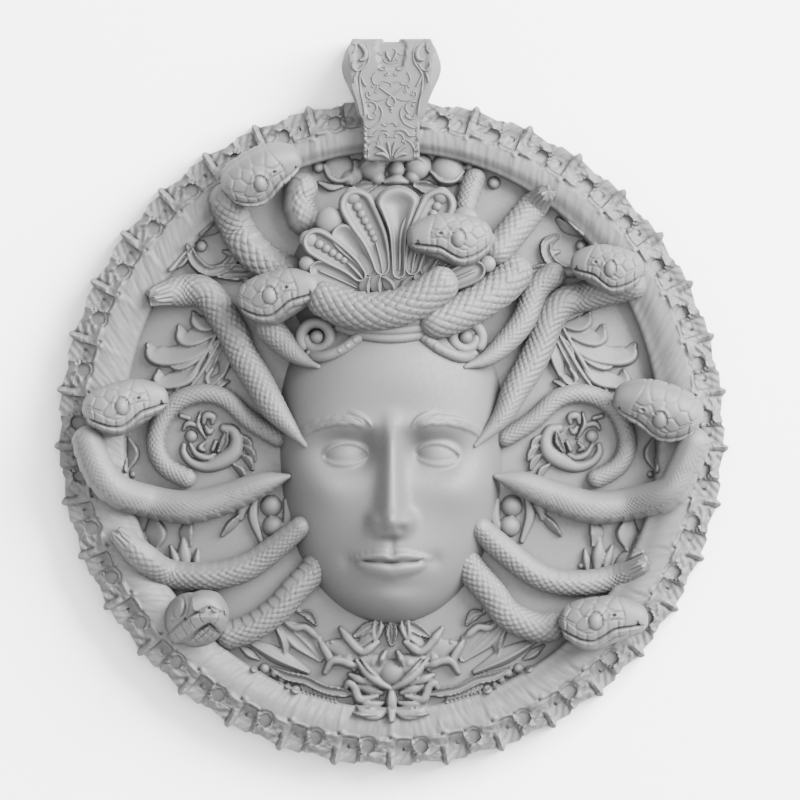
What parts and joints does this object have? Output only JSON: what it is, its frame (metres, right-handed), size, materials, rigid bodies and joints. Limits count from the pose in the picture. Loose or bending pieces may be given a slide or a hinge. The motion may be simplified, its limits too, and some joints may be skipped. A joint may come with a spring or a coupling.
{
  "type": "gorgon mask pendant",
  "caption": "Round cast metal pendant: a calm gorgon mask among snakes and scrolling leaves, in a toothed ring under a fixed bail.",
  "frame": {"origin": "middle of the round medallion on its flat back", "axes": "+Z out of the mask's face, +Y from the chin to the bail, the pendant lying on its back"},
  "size_m": [0.06, 0.0651, 0.0129],
  "materials": {
    "cast_pewter": "matte",
    "bail_pewter": "matte"
  },
  "bodies": {
    "root": {"medallion": "cast_pewter", "bail": "bail_pewter"}
  },
  "joints": []
}
